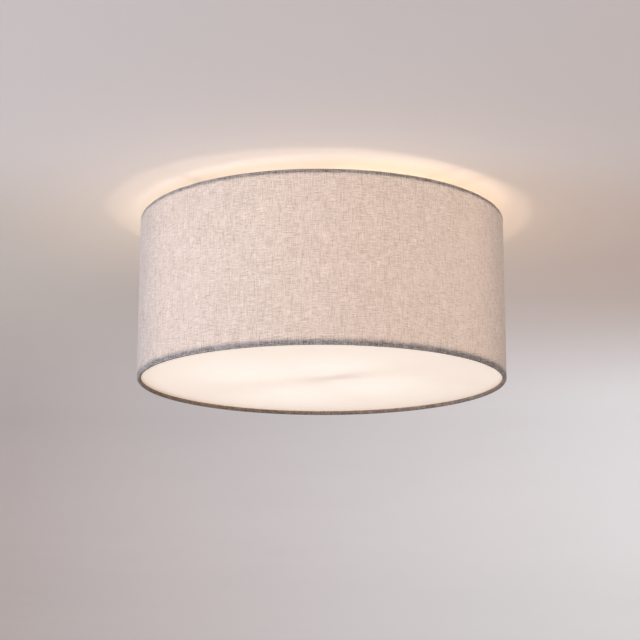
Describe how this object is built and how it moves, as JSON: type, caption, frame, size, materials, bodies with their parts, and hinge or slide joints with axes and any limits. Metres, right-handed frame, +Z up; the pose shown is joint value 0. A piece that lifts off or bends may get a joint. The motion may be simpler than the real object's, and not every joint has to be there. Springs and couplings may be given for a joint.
{
  "type": "flush mount ceiling light",
  "caption": "Flush mount ceiling light: low fabric drum on wire hoops and cranked arms, opal disc diffuser, horizontal screw bulbs on a hub, canopy with wiring.",
  "frame": {"origin": "middle of the ceiling bracket's top face, on the plane of the ceiling", "axes": "+Z up into the ceiling, the light hangs below z = 0; -Y is the front that the picture shows; +X is the picture's right"},
  "size_m": [0.3999, 0.4005, 0.19],
  "materials": {
    "shade_fabric": "woven melange cloth on a stiff film",
    "shade_liner": "translucent white film",
    "hoop_white": "white powder coat on wire",
    "diffuser_opal": "satin opal acrylic",
    "zinc_steel": "bright zinc plate",
    "canopy_white": "white powder coat",
    "nickel": "satin nickel plate",
    "carrier_white": "white powder coat",
    "bushing_plastic": "moulded nylon",
    "holder_plastic": "white moulded thermoplastic",
    "holder_ceramic": "glazed steatite",
    "shell_nickel": "nickelled shell",
    "contact_brass": "brass spring",
    "cap_aluminium": "rolled aluminium",
    "cap_insulator": "black glass-like insulator",
    "bulb_housing": "white moulded housing",
    "bulb_globe": "opal globe",
    "block_plastic": "natural nylon",
    "terminal_brass": "plated brass",
    "lead_brown": "brown insulation",
    "lead_blue": "blue insulation",
    "lead_green_yellow": "green and yellow insulation"
  },
  "bodies": {
    "fixture": {"shade_fabric": "shade_fabric", "shade_liner": "shade_liner", "shade_seam": "shade_fabric", "top_hoop": "hoop_white", "bottom_hoop": "hoop_white", "spider_plate": "carrier_white", "spider_arm_1": "carrier_white", "spider_arm_2": "carrier_white", "spider_arm_3": "carrier_white", "spider_arm_4": "carrier_white", "ceiling_bracket": "zinc_steel", "bracket_studs": "zinc_steel", "canopy": "canopy_white", "stem_tube": "zinc_steel", "stem_nuts": "zinc_steel", "stem_lock_washer": "zinc_steel", "stem_bushing": "bushing_plastic", "hub_body": "carrier_white", "hub_cover": "carrier_white", "hub_strap": "zinc_steel", "hub_cover_screw": "nickel", "nipple_nuts": "zinc_steel", "terminal_block": "block_plastic", "terminal_inserts": "terminal_brass", "terminal_screws": "zinc_steel", "earth_lug": "terminal_brass", "earth_screw": "zinc_steel", "live_leads": "lead_brown", "neutral_leads": "lead_blue", "earth_lead": "lead_green_yellow", "holder_nipple_a": "zinc_steel", "holder_dome_a": "holder_plastic", "holder_skirt_a": "holder_plastic", "holder_base_a": "holder_ceramic", "holder_shell_a": "shell_nickel", "holder_contact_a": "contact_brass", "holder_nipple_b": "zinc_steel", "holder_dome_b": "holder_plastic", "holder_skirt_b": "holder_plastic", "holder_base_b": "holder_ceramic", "holder_shell_b": "shell_nickel", "holder_contact_b": "contact_brass"},
    "diffuser": {"diffuser": "diffuser_opal"},
    "bulb_a_foot": {"bulb_a_eyelet": "cap_aluminium", "bulb_a_insulator": "cap_insulator"},
    "bulb_a": {"bulb_a_cap": "cap_aluminium", "bulb_a_housing": "bulb_housing", "bulb_a_globe": "bulb_globe"},
    "bulb_b_foot": {"bulb_b_eyelet": "cap_aluminium", "bulb_b_insulator": "cap_insulator"},
    "bulb_b": {"bulb_b_cap": "cap_aluminium", "bulb_b_housing": "bulb_housing", "bulb_b_globe": "bulb_globe"},
    "washer_left": {"stud_washer_left": "nickel"},
    "nut_left": {"knurled_nut_left": "nickel"},
    "washer_right": {"stud_washer_right": "nickel"},
    "nut_right": {"knurled_nut_right": "nickel"}
  },
  "joints": [
    {"name": "diffuser_lift", "type": "slide", "parent": "fixture", "child": "diffuser", "axis": [0, 0, 1], "range_m": [0, 0.06]},
    {"name": "bulb_a_feed", "type": "slide", "parent": "fixture", "child": "bulb_a_foot", "axis": [0.7071, 0.7071, 0], "range_m": [0, 0.01816]},
    {"name": "bulb_a_turn", "type": "hinge", "parent": "bulb_a_foot", "child": "bulb_a", "pos_m": [0, 0, -0.087], "axis": [0.7071, 0.7071, 0], "range_deg": [0, 1800]},
    {"name": "bulb_b_feed", "type": "slide", "parent": "fixture", "child": "bulb_b_foot", "axis": [-0.7071, -0.7071, 0], "range_m": [0, 0.01816]},
    {"name": "bulb_b_turn", "type": "hinge", "parent": "bulb_b_foot", "child": "bulb_b", "pos_m": [0, 0, -0.087], "axis": [-0.7071, -0.7071, 0], "range_deg": [0, 1800]},
    {"name": "washer_left_drop", "type": "slide", "parent": "fixture", "child": "washer_left", "axis": [0, 0, -1], "range_m": [0, 0.00561]},
    {"name": "nut_left_turn", "type": "hinge", "parent": "washer_left", "child": "nut_left", "pos_m": [-0.042, 0, -0.026], "axis": [0, 0, -1], "range_deg": [0, 2880]},
    {"name": "washer_right_drop", "type": "slide", "parent": "fixture", "child": "washer_right", "axis": [0, 0, -1], "range_m": [0, 0.00561]},
    {"name": "nut_right_turn", "type": "hinge", "parent": "washer_right", "child": "nut_right", "pos_m": [0.042, 0, -0.026], "axis": [0, 0, -1], "range_deg": [0, 2880]}
  ],
  "couplings": [
    {"joint": "bulb_a_feed", "follows": "bulb_a_turn", "m_per_rad": 0.00057757},
    {"joint": "bulb_b_feed", "follows": "bulb_b_turn", "m_per_rad": 0.00057757},
    {"joint": "washer_left_drop", "follows": "nut_left_turn", "m_per_rad": 0.00011141},
    {"joint": "washer_right_drop", "follows": "nut_right_turn", "m_per_rad": 0.00011141}
  ]
}
